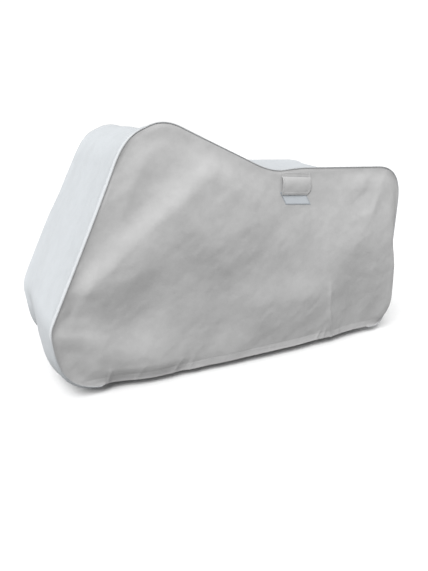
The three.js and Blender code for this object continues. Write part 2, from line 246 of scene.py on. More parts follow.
# Middle of the strip against the line between its seams, by share of the seam
Crown = namedtuple("Crown", "place at crown")
STRIP_CROWN = [
    Crown("front hem", 0, 6),
    Crown("under nose", 0.06, 14),
    Crown("nose", 0.11, 8),
    Crown("front slope", 0.2, 5),
    Crown("handlebar front", 0.31, -4),
    Crown("handlebar top", 0.355, -10),
    Crown("behind handlebar", 0.42, -26),
    Crown("seat", 0.49, -16),
    Crown("rack", 0.58, -24),
    Crown("rack end", 0.68, -46),
    Crown("tail", 0.745, -26),
    Crown("rear", 0.86, 10),
    Crown("rear hem", 1, -14),
]
# Puffs and folds of the strip: `at` a share of the seam, `across` from -1 at the left seam to 1 at the right
Puff = namedtuple("Puff", "place at across along wide height")
STRIP_PUFFS = [
    Puff("left of nose", 0.035, -0.62, 0.046, 0.44, 47),
    Puff("under left of nose", 0.012, -0.75, 0.03, 0.3, 24),
    Puff("right of nose", 0.062, 0.66, 0.044, 0.5, -44),
    Puff("slope ridge", 0.2, 0.12, 0.08, 0.28, 9),
    Puff("crown trough", 0.37, -0.45, 0.05, 0.35, -14),
    Puff("slope trough", 0.19, -0.45, 0.07, 0.25, -7),
    Puff("seat ridge", 0.5, 0.35, 0.05, 0.3, 8),
    Puff("rear left fold", 0.87, -0.4, 0.06, 0.3, 9),
    Puff("rear right fold", 0.89, 0.45, 0.06, 0.3, 8),
]

# How a seam draws its two cloths, by share of the seam: the panel dips beside the piping or swells out just
# below it, and the strip swells into a lip
Draw = namedtuple("Draw", "place at dip swell lip")
SEAM_DRAWS = [
    Draw("front hem", 0, 3, 0, 14),
    Draw("under nose", 0.06, 6, 0, 16),
    Draw("nose", 0.1, 5, 0, 9),
    Draw("front slope", 0.2, 1.5, 0, 8),
    Draw("handlebar front", 0.3, 1, 0.5, 8),
    Draw("handlebar top", 0.36, 0, 7, 3),
    Draw("behind handlebar", 0.42, 0, 4, 3),
    Draw("rack end", 0.68, 1.5, 0.5, 3),
    Draw("tail", 0.74, 3, 0, 4),
    Draw("rear", 0.86, 3, 0, 7),
    Draw("rear hem", 1, 2, 0, 2),
]
DIP_REACH = 24.0
SWELL_WIDTH = 26.0
SWELL_REACH = 150.0
LIP_REACH = 15.0
# A paler tone along the strip's seams is a painted highlight on its lip, left off below the nose: there its
# edge counts as lying `plain` further in. The change is spread between two shares of the seam.
STRIP_HIGHLIGHT_STOP = {"plain": 20.0, "starts": (0.085, 0.105)}

# Vent flap and bare tag on the left panel. The flap has a flat sewn band, then swells out like a hood and
# turns down; its rear edge stays close to the panel, and its lower rear corner curls forward.
FLAP = {"front": 182.0, "rear": 362.0, "top": 984.0, "bottom": 873.0, "seat": 0.8}
FLAP_CUT = {"tilt": 10.0, "lean": 14.0, "curl": 30.0, "curl_power": 6}
FLAP_HOOD = {"band": 0.2, "lift": 14.0, "turn": 0.88, "close": 0.7, "close_power": 3, "rise": 0.65}
FLAP_HEM = {"width": 12.0, "step": 2.0, "rise": 0.9}
FLAP_STEPS = (60, 44)
TAG = {"front": 162.0, "rear": 324.0, "top": 886.0, "bottom": 823.0, "seat": 0.7, "cloth": 1.0}
TAG_CUT = {"tilt": 10.0, "slant": 36.0}
TAG_STEPS = (48, 24)

# Sewing: short beads of thread along each row. A ring of a bead stands at a share of its length and has a
# share of its radius. The hem is sewn near its upper edge, the flap and the tag just inside their edges, and
# the strip's hems between two shares of its width.
STITCH = {"pitch": 6.0, "length": 4.4, "radius": 0.55, "sunk": 0.25}
STITCH_SIDES = 6
Ring = namedtuple("Ring", "at fat")
STITCH_RINGS = [Ring(-0.5, 0.4), Ring(-0.3, 1), Ring(0.3, 1), Ring(0.5, 0.4)]
HEM_SEWN = 40.0
HEM_SEWN_DENT = {"depth": 0.9, "width": 6.0}
FLAP_SEWN = 7.0
TAG_SEWN = 4.0
STRIP_SEWN = (0.01, 0.99)
PATH_POINTS = 240

# Cloth finishes: two close tones, a weave of `pitch` metres, how crumpled the cloth is, and the tone and
# width in metres of a band along the edge where it has one: the tag's darker border, and a painted highlight
# along the strip's seams
Border = namedtuple("Border", "tone width")
# Painted highlight along the strip's seams
STRIP_PAINTED_HIGHLIGHT = Border((0.55, 0.567, 0.583), 0.012)
TAG_BORDER = Border((0.33, 0.36, 0.39), 0.007)
Finish = namedtuple("Finish", "name dark light roughness sheen pitch crumple border")
FINISHES = [
    Finish("panel_cloth", (0.395, 0.395, 0.395), (0.445, 0.445, 0.445), 0.85, 0.1, 0.0022, 0.4, None),
    Finish("strip_cloth", (0.47, 0.493, 0.513), (0.505, 0.529, 0.55), 0.75, 0.05, 0.0022, 0.2, STRIP_PAINTED_HIGHLIGHT),
    Finish("piping_tape", (0.37, 0.38, 0.39), (0.43, 0.44, 0.45), 0.65, 0.1, 0.0016, 0.1, None),
    Finish("tag_weave", (0.44, 0.47, 0.5), (0.47, 0.5, 0.53), 0.5, 0.1, 0.0012, 0.05, TAG_BORDER),
    Finish("thread", (0.36, 0.36, 0.37), (0.42, 0.42, 0.43), 0.6, 0.1, 0.0006, 0.1, None),
]
# Share of a band's width over which the tag's border and the strip's painted highlight fade in
BORDER_AND_HIGHLIGHT_FADE = 0.6
TONE_STOPS = (0.3, 0.7)
MOTTLE = {"Scale": 14.0, "Detail": 6.0, "Roughness": 0.65}
CRUMPLE = {"Scale": 26.0, "Detail": 4.0, "Roughness": 0.55}
CRUMPLE_DEPTH = 0.004
WEAVE_STRENGTH = 0.25
WEAVE_DEPTH = 0.0002
# A wave texture of scale 1 repeats after this length
WAVE_PERIOD = pi / 10
# Sockets of a mix node for its two colours and the result
MIX_NEAR = 6
MIX_FAR = 7
MIX_RESULT = 2

# Camera, fitted to the seams and hem in the photograph
CAMERA_PLACE = (-0.8661, -2.5247, -0.0281)
CAMERA_PITCH = 17.266
CAMERA_YAW = 27.866
CAMERA_LENS = 30.87
SENSOR = 36.0

# Stage, in metres but for the floor's drop. Heights in the sky run from 0 straight down to 1 straight up.
FLOOR_BELOW_HEM = 38.0
FLOOR_REACH = 200.0
FLOOR_ROUGHNESS = 0.9
FLOOR_TONES = ((0.86, 0.86, 0.86), (0.88, 0.88, 0.88))
FLOOR_GRAIN = {"Scale": 40.0, "Detail": 3.0}
SUN_FROM = (-0.45, -0.45, 0.77)
SUN_STRENGTH = 2.95
SUN_SPREAD = 40.0
FILL_PLACE = (-2.6, 1.6, -0.85)
FILL_FROM = (-0.85, 0.53, 0.0)
FILL_SIZE = 1.6
FILL_POWER = 6.0
Sky = namedtuple("Sky", "place height level")
SKY = [
    Sky("low", 0.3, 0.1),
    Sky("horizon", 0.48, 1.05),
    Sky("over the horizon", 0.62, 1.05),
    Sky("high", 0.75, 0.6),
]
# Further stops of the sky's ramp are made here and then moved to their heights
NEW_STOP = 0.5


def smoothstep(value, low, high):
    share = np.clip((value - low) / (high - low), 0, 1)
    return share * share * (3 - 2 * share)


def to_frame(points):
    return (points - ORIGIN) * MM


def crowd(share):
    """Moves even shares closer together towards both ends."""
    return share - CROWDING * np.sin(2 * pi * share) / (2 * pi)


def column_shares():
    """Shares of a panel's length where its columns stand."""
    fine = np.linspace(0, 1, DENSITY_SAMPLES)
    density = np.interp(fine, [row.at for row in COLUMN_DENSITY], [row.columns for row in COLUMN_DENSITY])
    total = np.concatenate(((0,), np.cumsum((density[1:] + density[:-1]) / 2)))
    return np.interp(np.linspace(0, total[-1], COLUMNS + 1), total, fine)


def table_value(table, column, at):
    """Blends a column of a table that is sorted by its `at`, smoothly between rows."""
    places = np.array([row.at for row in table])
    values = np.array([getattr(row, column) for row in table])
    after = np.clip(np.searchsorted(places, at), 1, len(places) - 1)
    blend = smoothstep(at, places[after - 1], places[after])
    return values[after - 1] + (values[after] - values[after - 1]) * blend


def soft_fold(fold, x, z):
    run_x = fold.x1 - fold.x0
    run_z = fold.z1 - fold.z0
    length = np.hypot(run_x, run_z)
    along = ((x - fold.x0) * run_x + (z - fold.z0) * run_z) / length
    aside = ((z - fold.z0) * run_x - (x - fold.x0) * run_z) / length
    past = np.maximum(0, np.maximum(-along, along - length))
    spread = np.where(aside > 0, fold.left, fold.right)
    return fold.height * np.exp(-((aside / spread) ** 2) - (past / fold.ends) ** 2)


def sum_folds(folds, x, z, edge):
    """Adds up folds that die out towards the seam, which is `edge` away."""
    return sum(soft_fold(fold, x, z) * smoothstep(edge, 0, fold.fade) for fold in folds)


def fine_crease(row, x, z):
    share = np.linspace(0, 1, CREASE_SAMPLES)[:, None]
    ends = np.array(((row.x0, row.z0), (row.xm, row.zm), (row.x1, row.z1)), float)
    path = (1 - share) ** 2 * ends[0] + 2 * share * (1 - share) * ends[1] + share**2 * ends[2]
    best = np.full(x.shape, np.inf)
    height = np.zeros(x.shape)
    for step in range(CREASE_SAMPLES - 1):
        run = path[step + 1] - path[step]
        along = ((x - path[step, 0]) * run[0] + (z - path[step, 1]) * run[1]) / (run @ run)
        along = np.clip(along, 0, 1)
        off_x = x - path[step, 0] - along * run[0]
        off_z = z - path[step, 1] - along * run[1]
        away = np.hypot(off_x, off_z)
        spread = np.where(off_z * run[0] - off_x * run[1] > 0, row.left, row.right)
        taper = np.sin(pi * (step + along) / (CREASE_SAMPLES - 1))
        profile = row.height * taper * np.exp(-((away / spread) ** row.power))
        height = np.where(away < best, profile, height)
        best = np.minimum(best, away)
    return height


def sum_creases(creases, x, z):
    total = np.zeros(np.shape(x))
    for row in creases:
        total += fine_crease(row, x, z)
    return total


def uneven(row, x, z):
    """Smooth random heights on a grid of cells, the same in every run."""
    turn = radians(row.heading)
    u = (x * np.cos(turn) + z * np.sin(turn)) / row.along
    v = (z * np.cos(turn) - x * np.sin(turn)) / row.across
    heights = np.random.default_rng(row.seed).uniform(-1, 1, (UNEVEN_CELLS, UNEVEN_CELLS))
    column = np.floor(u).astype(int)
    line = np.floor(v).astype(int)
    blend_u = smoothstep(u - column, 0, 1)
    blend_v = smoothstep(v - line, 0, 1)
    low = heights[line % UNEVEN_CELLS, column % UNEVEN_CELLS] * (1 - blend_u)
    low = low + heights[line % UNEVEN_CELLS, (column + 1) % UNEVEN_CELLS] * blend_u
    high = heights[(line + 1) % UNEVEN_CELLS, column % UNEVEN_CELLS] * (1 - blend_u)
    high = high + heights[(line + 1) % UNEVEN_CELLS, (column + 1) % UNEVEN_CELLS] * blend_u
    return row.height * (low * (1 - blend_v) + high * blend_v)


def half_width(x, z, side):
    folds = WIDTH_FOLDS + RIGHT_WIDTH_FOLDS if side == RIGHT else WIDTH_FOLDS
    return HALF_WIDTH + sum(soft_fold(fold, x, z) for fold in folds)


def seam_line():
    """Even samples of the seam's side outline, each corner rounded by a curve."""
    corners = np.array([(row.x, row.z) for row in OUTLINE], float)
    line = [corners[0]]
    share = np.linspace(0, 1, CORNER_SAMPLES)[:, None]
    for i in range(1, len(corners) - 1):
        to_last = corners[i - 1] - corners[i]
        to_next = corners[i + 1] - corners[i]
        enter = corners[i] + to_last / np.hypot(*to_last) * OUTLINE[i].before
        leave = corners[i] + to_next / np.hypot(*to_next) * OUTLINE[i].after
        line.extend((1 - share) ** 2 * enter + 2 * share * (1 - share) * corners[i] + share**2 * leave)
    line.append(corners[-1])
    line = np.array(line)
    lengths = np.concatenate(((0,), np.cumsum(np.hypot(*np.diff(line, axis=0).T))))
    even = np.linspace(0, lengths[-1], SEAM_SAMPLES + 1)
    return np.stack([np.interp(even, lengths, line[:, axis]) for axis in (0, 1)], 1), lengths[-1]


SEAM, SEAM_LENGTH = seam_line()
SEAM_SHARES = np.linspace(0, 1, SEAM_SAMPLES + 1)


def seam_points(at):
    return np.stack([np.interp(at, SEAM_SHARES, SEAM[:, axis]) for axis in (0, 1)], -1)


def seam_stations(at):
    """Points of the seam and the outward directions there, in the side view."""
    points = seam_points(at)
    run = seam_points(np.minimum(1, at + SEAM_STEP)) - seam_points(np.maximum(0, at - SEAM_STEP))
    run /= np.linalg.norm(run, axis=-1, keepdims=True)
    return points, np.stack((-run[..., 1], run[..., 0]), -1)


def seam_distance(x, z):
    """Distance to the seam in the side view, and the share of the seam that is nearest."""
    flat = np.stack((np.ravel(x), np.ravel(z)), 1)
    near = np.empty(len(flat))
    share = np.empty(len(flat))
    for start in range(0, len(flat), CHUNK):
        part = flat[start : start + CHUNK]
        squares = ((part[:, None] - SEAM[None]) ** 2).sum(2)
        index = squares.argmin(1)
        near[start : start + CHUNK] = np.sqrt(squares[np.arange(len(part)), index])
        share[start : start + CHUNK] = SEAM_SHARES[index]
    return near.reshape(np.shape(x)), share.reshape(np.shape(x))


def edge_inset(at):
    points, outward = seam_stations(at)
    return points - outward * SEAM_CLEARANCE


def hem_line(share):
    front = edge_inset(np.zeros(1))
    rear = edge_inset(np.ones(1))
    share = share[:, None]
    ends = (1 - share) ** 3 * front + share**3 * rear
    sags = (1 - share) * HEM_SAGS["front"] + share * HEM_SAGS["rear"]
    return ends + 3 * share * (1 - share) * sags


HEM_LINE = hem_line(np.linspace(0, 1, HEM_SAMPLES))


def panel_grid():
    """Spreads a panel's grid between its four edges in the side view (a Coons patch)."""
    u = column_shares()
    v = crowd(np.linspace(0, 1, ROWS + 1))
    front = edge_inset(HANDLEBAR_AT * v)
    top = edge_inset(HANDLEBAR_AT + (TAIL_AT - HANDLEBAR_AT) * u)
    rear = edge_inset(1 - (1 - TAIL_AT) * v)
    hem = hem_line(u)
    u = u[None, :, None]
    v = v[:, None, None]
    edges = hem[None] * (1 - v) + top[None] * v + front[:, None] * (1 - u) + rear[:, None] * u
    low = front[0] * (1 - u) + rear[0] * u
    high = front[-1] * (1 - u) + rear[-1] * u
    return edges - low * (1 - v) - high * v


class Panel:
    """One side of the cover: its folds and the height of its outer face over the centre plane."""

    def __init__(self, side, folds, creases, hem, unevenness):
        self.side = side
        self.folds = folds
        self.creases = creases
        self.hem = hem
        self.unevenness = unevenness

    def hem_shape(self, x, z):
        above = z - np.interp(x, HEM_LINE[:, 0], HEM_LINE[:, 1])
        draw = table_value(self.hem, "draw", x) * (1 - smoothstep(above, 0, DRAW_HEIGHT))
        flare = table_value(self.hem, "flare", x) * np.clip(1 - above / FLARE_HEIGHT, 0, 1) ** 2
        dent = HEM_SEWN_DENT["depth"] * np.exp(-(((above - HEM_SEWN) / HEM_SEWN_DENT["width"]) ** 2))
        return flare - draw - dent

    def height(self, x, z):
        near, at = seam_distance(x, z)
        edge = np.maximum(0, near - SEAM_CLEARANCE)
        fine = sum_creases(self.creases, x, z) + self.hem_shape(x, z)
        fine = fine + sum(uneven(row, x, z) for row in self.unevenness)
        folds = sum_folds(self.folds, x, z, edge) + fine * smoothstep(edge, 0, CREASE_FADE)
        dip = table_value(SEAM_DRAWS, "dip", at) * edge / DIP_REACH * np.exp(1 - edge / DIP_REACH)
        swell = 1 - np.clip(1 - edge / SWELL_WIDTH, 0, 1) ** 2
        swell = table_value(SEAM_DRAWS, "swell", at) * swell * np.exp(-((edge / SWELL_REACH) ** 2))
        return half_width(x, z, self.side) + folds - dip + swell

    def points(self, x, z, lift=0.0):
        """Points that stand `lift` out from the outer face."""
        step = SLOPE_STEP
        height = self.height(x, z)
        slope_x = (self.height(x + step, z) - self.height(x - step, z)) / (2 * step)
        slope_z = (self.height(x, z + step) - self.height(x, z - step)) / (2 * step)
        out = np.stack((-slope_x, np.ones_like(x), -slope_z), -1)
        out /= np.linalg.norm(out, axis=-1, keepdims=True)
        placed = np.stack((x, height, z), -1) + out * np.asarray(lift)[..., None]
        placed[..., 1] *= self.side
        return placed


def grid_normals(grid):
    along = np.gradient(grid, axis=1)
    across = np.gradient(grid, axis=0)
    normals = np.cross(along, across)
    return normals / np.linalg.norm(normals, axis=-1, keepdims=True)


def boundary(rows, columns):
    """Numbers of the points round a grid's edge, in order."""
    index = np.arange(rows * columns).reshape(rows, columns)
    return np.concatenate((index[0], index[1:, -1], index[-1, -2::-1], index[-2:0:-1, 0]))


def quads_of_grid(rows, columns, flip=False):
    index = np.arange(rows * columns).reshape(rows, columns)
    quads = np.stack((index[:-1, :-1], index[:-1, 1:], index[1:, 1:], index[1:, :-1]), -1).reshape(-1, 4)
    return quads[:, ::-1] if flip else quads


def mesh_object(name, points, quads, attributes):
    mesh = bpy.data.meshes.new(name)
    mesh.vertices.add(len(points))
    mesh.vertices.foreach_set("co", np.ascontiguousarray(points, np.float32).ravel())
    mesh.loops.add(quads.size)
    mesh.loops.foreach_set("vertex_index", np.ascontiguousarray(quads, np.int32).ravel())
    mesh.polygons.add(len(quads))
    mesh.polygons.foreach_set("loop_start", np.arange(0, quads.size, 4, dtype=np.int32))
    mesh.polygons.foreach_set("use_smooth", np.ones(len(quads), bool))
    mesh.update(calc_edges=True)
    for key, values in attributes.items():
        kind, field = ("FLOAT_VECTOR", "vector") if values.ndim == 2 else ("FLOAT", "value")
        made = mesh.attributes.new(key, kind, "POINT")
        made.data.foreach_set(field, np.ascontiguousarray(values, np.float32).ravel())
    mesh.validate()
    piece = bpy.data.objects.new(name, mesh)
    bpy.context.scene.collection.objects.link(piece)
    return piece


def sheet_object(name, outer, thickness, attributes):
    """A closed sheet from a grid of its outer face, with rounded edges all round."""
    rows, columns = outer.shape[:2]
    inner = outer - grid_normals(outer) * thickness[..., None]
    loop = boundary(rows, columns)
    loop_row, loop_column = np.unravel_index(loop, (rows, columns))
    inside_row = np.clip(loop_row, 1, rows - 2)
    inside_column = np.clip(loop_column, 1, columns - 2)
    middle = (outer[loop_row, loop_column] + inner[loop_row, loop_column]) / 2
    half = outer[loop_row, loop_column] - middle
    radius = np.linalg.norm(half, axis=1, keepdims=True)
    away = outer[loop_row, loop_column] - outer[inside_row, inside_column]
    away -= half * (away * half).sum(1, keepdims=True) / radius**2
    away *= radius / np.linalg.norm(away, axis=1, keepdims=True)
    turns = np.arange(1, RIM_STEPS) * pi / RIM_STEPS
    rims = [middle + np.cos(turn) * half + np.sin(turn) * away for turn in turns]
    count = rows * columns
    points = np.concatenate((outer.reshape(-1, 3), inner.reshape(-1, 3), *rims))
    loops = [loop]
    loops += [2 * count + step * len(loop) + np.arange(len(loop)) for step in range(RIM_STEPS - 1)]
    loops.append(loop + count)
    quads = [quads_of_grid(rows, columns), quads_of_grid(rows, columns, flip=True) + count]
    for near, far in zip(loops[:-1], loops[1:]):
        quads.append(np.stack((near, far, np.roll(far, -1), np.roll(near, -1)), -1))
    source = np.concatenate((np.arange(count), np.arange(count), *([loop] * (RIM_STEPS - 1))))
    spread = {key: values.reshape(count, *values.shape[2:])[source] for key, values in attributes.items()}
    return mesh_object(name, to_frame(points), np.concatenate(quads), spread)


def column_lengths(grid):
    """Length along each column of a grid from its first row."""
    total = np.cumsum(np.linalg.norm(np.diff(grid, axis=0), axis=-1), axis=0)
    return np.concatenate((np.zeros_like(total[:1]), total))


def grid_path(grid, rows, columns):
    """Points at fractional rows and columns of a grid, with the outward directions there."""
    both = np.concatenate((grid, grid_normals(grid)), -1)
    row = np.clip(np.floor(rows).astype(int), 0, grid.shape[0] - 2)
    column = np.clip(np.floor(columns).astype(int), 0, grid.shape[1] - 2)
    up = (rows - row)[:, None]
    over = (columns - column)[:, None]
    low = both[row, column] * (1 - over) + both[row, column + 1] * over
    high = both[row + 1, column] * (1 - over) + both[row + 1, column + 1] * over
    path = low * (1 - up) + high * up
    return path[:, :3], path[:, 3:]


def inset_path(grid, corners):
    """A path over a grid through corners that are given as shares of its rows and columns."""
    corners = np.array(corners) * (grid.shape[0] - 1, grid.shape[1] - 1)
    legs = np.arange(len(corners))
    along = np.linspace(0, len(corners) - 1, PATH_POINTS)
    return grid_path(grid, np.interp(along, legs, corners[:, 0]), np.interp(along, legs, corners[:, 1]))


def leg_paths(grid, corners):
    """A path for each leg between neighbouring corners."""
    return [inset_path(grid, corners[leg : leg + 2]) for leg in range(len(corners) - 1)]


def bead_quads(beads):
    """Sides of all beads, and two quads that close each six-sided end."""
    shape = (beads, len(STITCH_RINGS), STITCH_SIDES)
    index = np.arange(np.prod(shape)).reshape(shape)
    after = np.roll(index, -1, axis=2)
    sides = np.stack((index[:, :-1], index[:, 1:], after[:, 1:], after[:, :-1]), -1).reshape(-1, 4)
    caps = [index[:, 0, (0, 1, 2, 3)], index[:, 0, (0, 3, 4, 5)]]
    caps += [index[:, -1, (3, 2, 1, 0)], index[:, -1, (5, 4, 3, 0)]]
    return np.concatenate((sides, *caps))


def sewing(name, paths):
    """Rows of stitches, one along each path of points and outward directions."""
    turns = np.linspace(0, 2 * pi, STITCH_SIDES, endpoint=False)
    beads = []
    for points, outward in paths:
        steps = np.linalg.norm(np.diff(points, axis=0), axis=1)
        lengths = np.concatenate(((0,), np.cumsum(steps)))
        middles = np.arange(STITCH["pitch"], lengths[-1] - STITCH["pitch"] / 2, STITCH["pitch"])
        place, ahead, behind, out = [
            np.stack([np.interp(middles + shift, lengths, values[:, axis]) for axis in range(3)], -1)
            for values, shift in ((points, 0), (points, SLOPE_STEP), (points, -SLOPE_STEP), (outward, 0))
        ]
        run = ahead - behind
        run /= np.linalg.norm(run, axis=1, keepdims=True)
        out -= run * (out * run).sum(1, keepdims=True)
        out /= np.linalg.norm(out, axis=1, keepdims=True)
        aside = np.cross(out, run)
        round_thread = out[:, None] * np.cos(turns)[:, None] + aside[:, None] * np.sin(turns)[:, None]
        middle = place + out * STITCH["radius"] * (1 - STITCH["sunk"])
        rings = [
            (middle + run * ring.at * STITCH["length"])[:, None] + round_thread * ring.fat * STITCH["radius"]
            for ring in STITCH_RINGS
        ]
        beads.append(np.stack(rings, 1))
    beads = np.concatenate(beads)
    along = np.broadcast_to(np.array([ring.at for ring in STITCH_RINGS])[:, None], beads.shape[1:3])
    around = np.broadcast_to(turns / (2 * pi), beads.shape[1:3])
    cloth = np.stack((along, around, np.zeros_like(along)), -1) * STITCH["length"] * MM
    cloth = np.broadcast_to(cloth, beads.shape).reshape(-1, 3)
    return mesh_object(name, to_frame(beads.reshape(-1, 3)), bead_quads(len(beads)), {"cloth": cloth})


def hem_path(outer, above_hem):
    """The row of sewing along a panel's hem."""
    columns = np.arange(outer.shape[1])
    rows = np.arange(outer.shape[0])
    sewn = np.array([np.interp(HEM_SEWN, above_hem[:, column], rows) for column in columns])
    return grid_path(outer, sewn, columns)


def cloth_thickness(from_edge):
    """Thickness of a cloth, doubled in the hem."""
    return HEM_CLOTH + (CLOTH - HEM_CLOTH) * smoothstep(from_edge, HEM_HEIGHT - HEM_STEP, HEM_HEIGHT)


def side_panel(name, panel):
    grid = panel_grid()
    if panel.side == RIGHT:
        grid = grid[:, ::-1]
    x = grid[..., 0]
    z = grid[..., 1]
    outer = np.stack((x, panel.side * panel.height(x, z), z), -1)
    above_hem = column_lengths(outer)
    cloth = np.stack((x, z, np.zeros_like(x)), -1) * MM
    sheet = sheet_object(name, outer, cloth_thickness(above_hem), {"cloth": cloth})
    return sheet, sewing(name + "_sewing", [hem_path(outer, above_hem)])


def strip_height(at, across):
    arch = 1 - across**2
    puffs = 0
    for puff in STRIP_PUFFS:
        far_along = ((at - puff.at) / puff.along) ** 2
        far_across = ((across - puff.across) / puff.wide) ** 2
        puffs = puffs + puff.height * np.exp(-far_along - far_across)
    return arch * (table_value(STRIP_CROWN, "crown", at) + puffs)


def centre_strip():
    at = np.linspace(0, 1, STRIP_COLUMNS + 1)[None, :]
    across = (2 * crowd(np.linspace(0, 1, STRIP_ROWS + 1)) - 1)[:, None]
    points, outward = seam_stations(at[0])
    left_reach = half_width(points[:, 0], points[:, 1], LEFT)[None, :] - SEAM_CLEARANCE
    right_reach = half_width(points[:, 0], points[:, 1], RIGHT)[None, :] - SEAM_CLEARANCE
    reach = np.where(across > 0, right_reach, left_reach)
    edge = (1 - np.abs(across)) * reach
    lip = table_value(SEAM_DRAWS, "lip", at) * edge / LIP_REACH * np.exp(1 - edge / LIP_REACH)
    soft = sum(uneven(row, at * SEAM_LENGTH, across * reach) for row in STRIP_UNEVENNESS)
    height = strip_height(at, across) + lip + soft * smoothstep(edge, 0, CREASE_FADE)
    outer = np.empty((*height.shape, 3))
    outer[..., 0] = points[None, :, 0] + outward[None, :, 0] * height
    outer[..., 1] = across * reach
    outer[..., 2] = points[None, :, 1] + outward[None, :, 1] * height
    from_end = np.minimum(at, 1 - at) * SEAM_LENGTH * np.ones_like(height)
    cloth = np.stack((at * SEAM_LENGTH + 0 * height, across * reach, np.zeros_like(height)), -1) * MM
    # Distance that places the painted highlight along the strip's seams, kept off below the nose
    highlight_edge = edge + STRIP_HIGHLIGHT_STOP["plain"] * (1 - smoothstep(at, *STRIP_HIGHLIGHT_STOP["starts"]))
    looks = {"cloth": cloth, "edge": highlight_edge * MM}
    sheet = sheet_object("cover_strip", outer, cloth_thickness(from_end), looks)
    sewn = HEM_SEWN / SEAM_LENGTH
    left_end, right_end = STRIP_SEWN
    paths = [inset_path(outer, ((left_end, share), (right_end, share))) for share in (sewn, 1 - sewn)]
    return sheet, sewing("cover_strip_sewing", paths)


def piping(name, side):
    at = np.linspace(0, 1, PIPING_STEPS + 1)
    points, outward = seam_stations(at)
    half = half_width(points[:, 0], points[:, 1], side)
    turns = np.linspace(0, 2 * pi, PIPING_SIDES, endpoint=False)[:, None]
    ring = np.empty((PIPING_SIDES, PIPING_STEPS + 1, 3))
    ring[..., 0] = points[:, 0] + outward[:, 0] * np.cos(turns) * PIPING_RADIUS
    ring[..., 1] = side * (half + np.sin(turns) * PIPING_RADIUS)
    ring[..., 2] = points[:, 1] + outward[:, 1] * np.cos(turns) * PIPING_RADIUS
    columns = PIPING_STEPS + 1
    index = np.arange(PIPING_SIDES * columns).reshape(PIPING_SIDES, columns)
    after = np.roll(index, -1, axis=0)
    quads = np.stack((index[:, :-1], after[:, :-1], after[:, 1:], index[:, 1:]), -1).reshape(-1, 4)
    if side == LEFT:
        quads = quads[:, ::-1]
    centres = np.stack((points[:, 0], side * half, points[:, 1]), -1)[[0, -1]]
    all_points = np.concatenate((ring.reshape(-1, 3), centres))
    cap = PIPING_SIDES * columns
    caps = []
    for end, column in ((0, 0), (1, -1)):
        for turn in range(0, PIPING_SIDES, 2):
            corners = [index[turn, column], index[(turn + 1) % PIPING_SIDES, column]]
            corners += [index[(turn + 2) % PIPING_SIDES, column], cap + end]
            caps.append(corners if (end == 0) == (side == LEFT) else corners[::-1])
    along = np.broadcast_to(at * SEAM_LENGTH * MM, (PIPING_SIDES, columns)).ravel()
    around = np.broadcast_to(turns * PIPING_RADIUS * MM, (PIPING_SIDES, columns)).ravel()
    cloth = np.stack((along, around, np.zeros_like(along)), -1)
    cloth = np.concatenate((cloth, np.array(((0, 0, 0), (SEAM_LENGTH * MM, 0, 0)))))
    return mesh_object(name, to_frame(all_points), np.concatenate((quads, np.array(caps))), {"cloth": cloth})


def patch_cloth(along, drop, wide, tall):
    """Places on a patch for its weave, in metres from its lower front corner."""
    over, up = np.broadcast_arrays(along * wide, (1 - drop) * tall)
    return np.stack((over, up, np.zeros(up.shape)), -1) * MM


def vent_flap(panel):
    columns, rows = FLAP_STEPS
    along = np.linspace(0, 1, columns + 1)[None, :]
    drop = np.linspace(1, 0, rows + 1)[:, None]
    wide = FLAP["rear"] - FLAP["front"]
    tall = FLAP["top"] - FLAP["bottom"]
    lean = FLAP_CUT["lean"] * drop * (1 - along)
    curl = FLAP_CUT["curl"] * drop ** FLAP_CUT["curl_power"] * along
    x = FLAP["front"] + wide * along - lean - curl
    z = FLAP["top"] - tall * drop - FLAP_CUT["tilt"] * along
    free = np.clip((drop - FLAP_HOOD["band"]) / (1 - FLAP_HOOD["band"]), 0, 1)
    wave = np.sin(pi * FLAP_HOOD["turn"] * free ** FLAP_HOOD["rise"])
    hood = FLAP_HOOD["lift"] * wave * (1 - FLAP_HOOD["close"] * along ** FLAP_HOOD["close_power"])
    from_edge = np.minimum(np.minimum(along, 1 - along) * wide, (1 - drop) * tall)
    flat = smoothstep(from_edge, FLAP_HEM["width"] - FLAP_HEM["step"], FLAP_HEM["width"])
    doubled = FLAP_HEM["rise"] * (1 - flat)
    outer = panel.points(x, z, FLAP["seat"] + hood + CLOTH + doubled)
    looks = {"cloth": patch_cloth(along, drop, wide, tall)}
    sheet = sheet_object("cover_flap", outer, np.full(x.shape, CLOTH), looks)
    side = FLAP_SEWN / wide
    low = FLAP_SEWN / tall
    band = 1 - FLAP_HOOD["band"]
    band_rows = (1 - low / 2, band + low / 2)
    paths = [inset_path(outer, ((row, side / 2), (row, 1 - side / 2))) for row in band_rows]
    corners = [(band - low, side), (low, side), (low, 1 - side), (band - low, 1 - side)]
    return sheet, sewing("cover_flap_sewing", paths + leg_paths(outer, corners))


def bare_tag(panel):
    columns, rows = TAG_STEPS
    along = np.linspace(0, 1, columns + 1)[None, :]
    drop = np.linspace(1, 0, rows + 1)[:, None]
    wide = TAG["rear"] - TAG["front"]
    tall = TAG["top"] - TAG["bottom"]
    x = TAG["front"] + wide * along + TAG_CUT["slant"] * drop
    z = TAG["top"] - tall * drop - TAG_CUT["tilt"] * along
    outer = panel.points(x, z, np.full(x.shape, TAG["seat"] + TAG["cloth"]))
    from_edge = np.minimum(np.minimum(along, 1 - along) * wide, np.minimum(drop, 1 - drop) * tall)
    looks = {"cloth": patch_cloth(along, drop, wide, tall), "edge": from_edge * MM}
    sheet = sheet_object("cover_tag", outer, np.full(x.shape, TAG["cloth"]), looks)
    side = TAG_SEWN / wide
    low = TAG_SEWN / tall
    corners = [(1 - low, side), (low, side), (low, 1 - side), (1 - low, 1 - side)]
    return sheet, sewing("cover_tag_sewing", leg_paths(outer, corners))


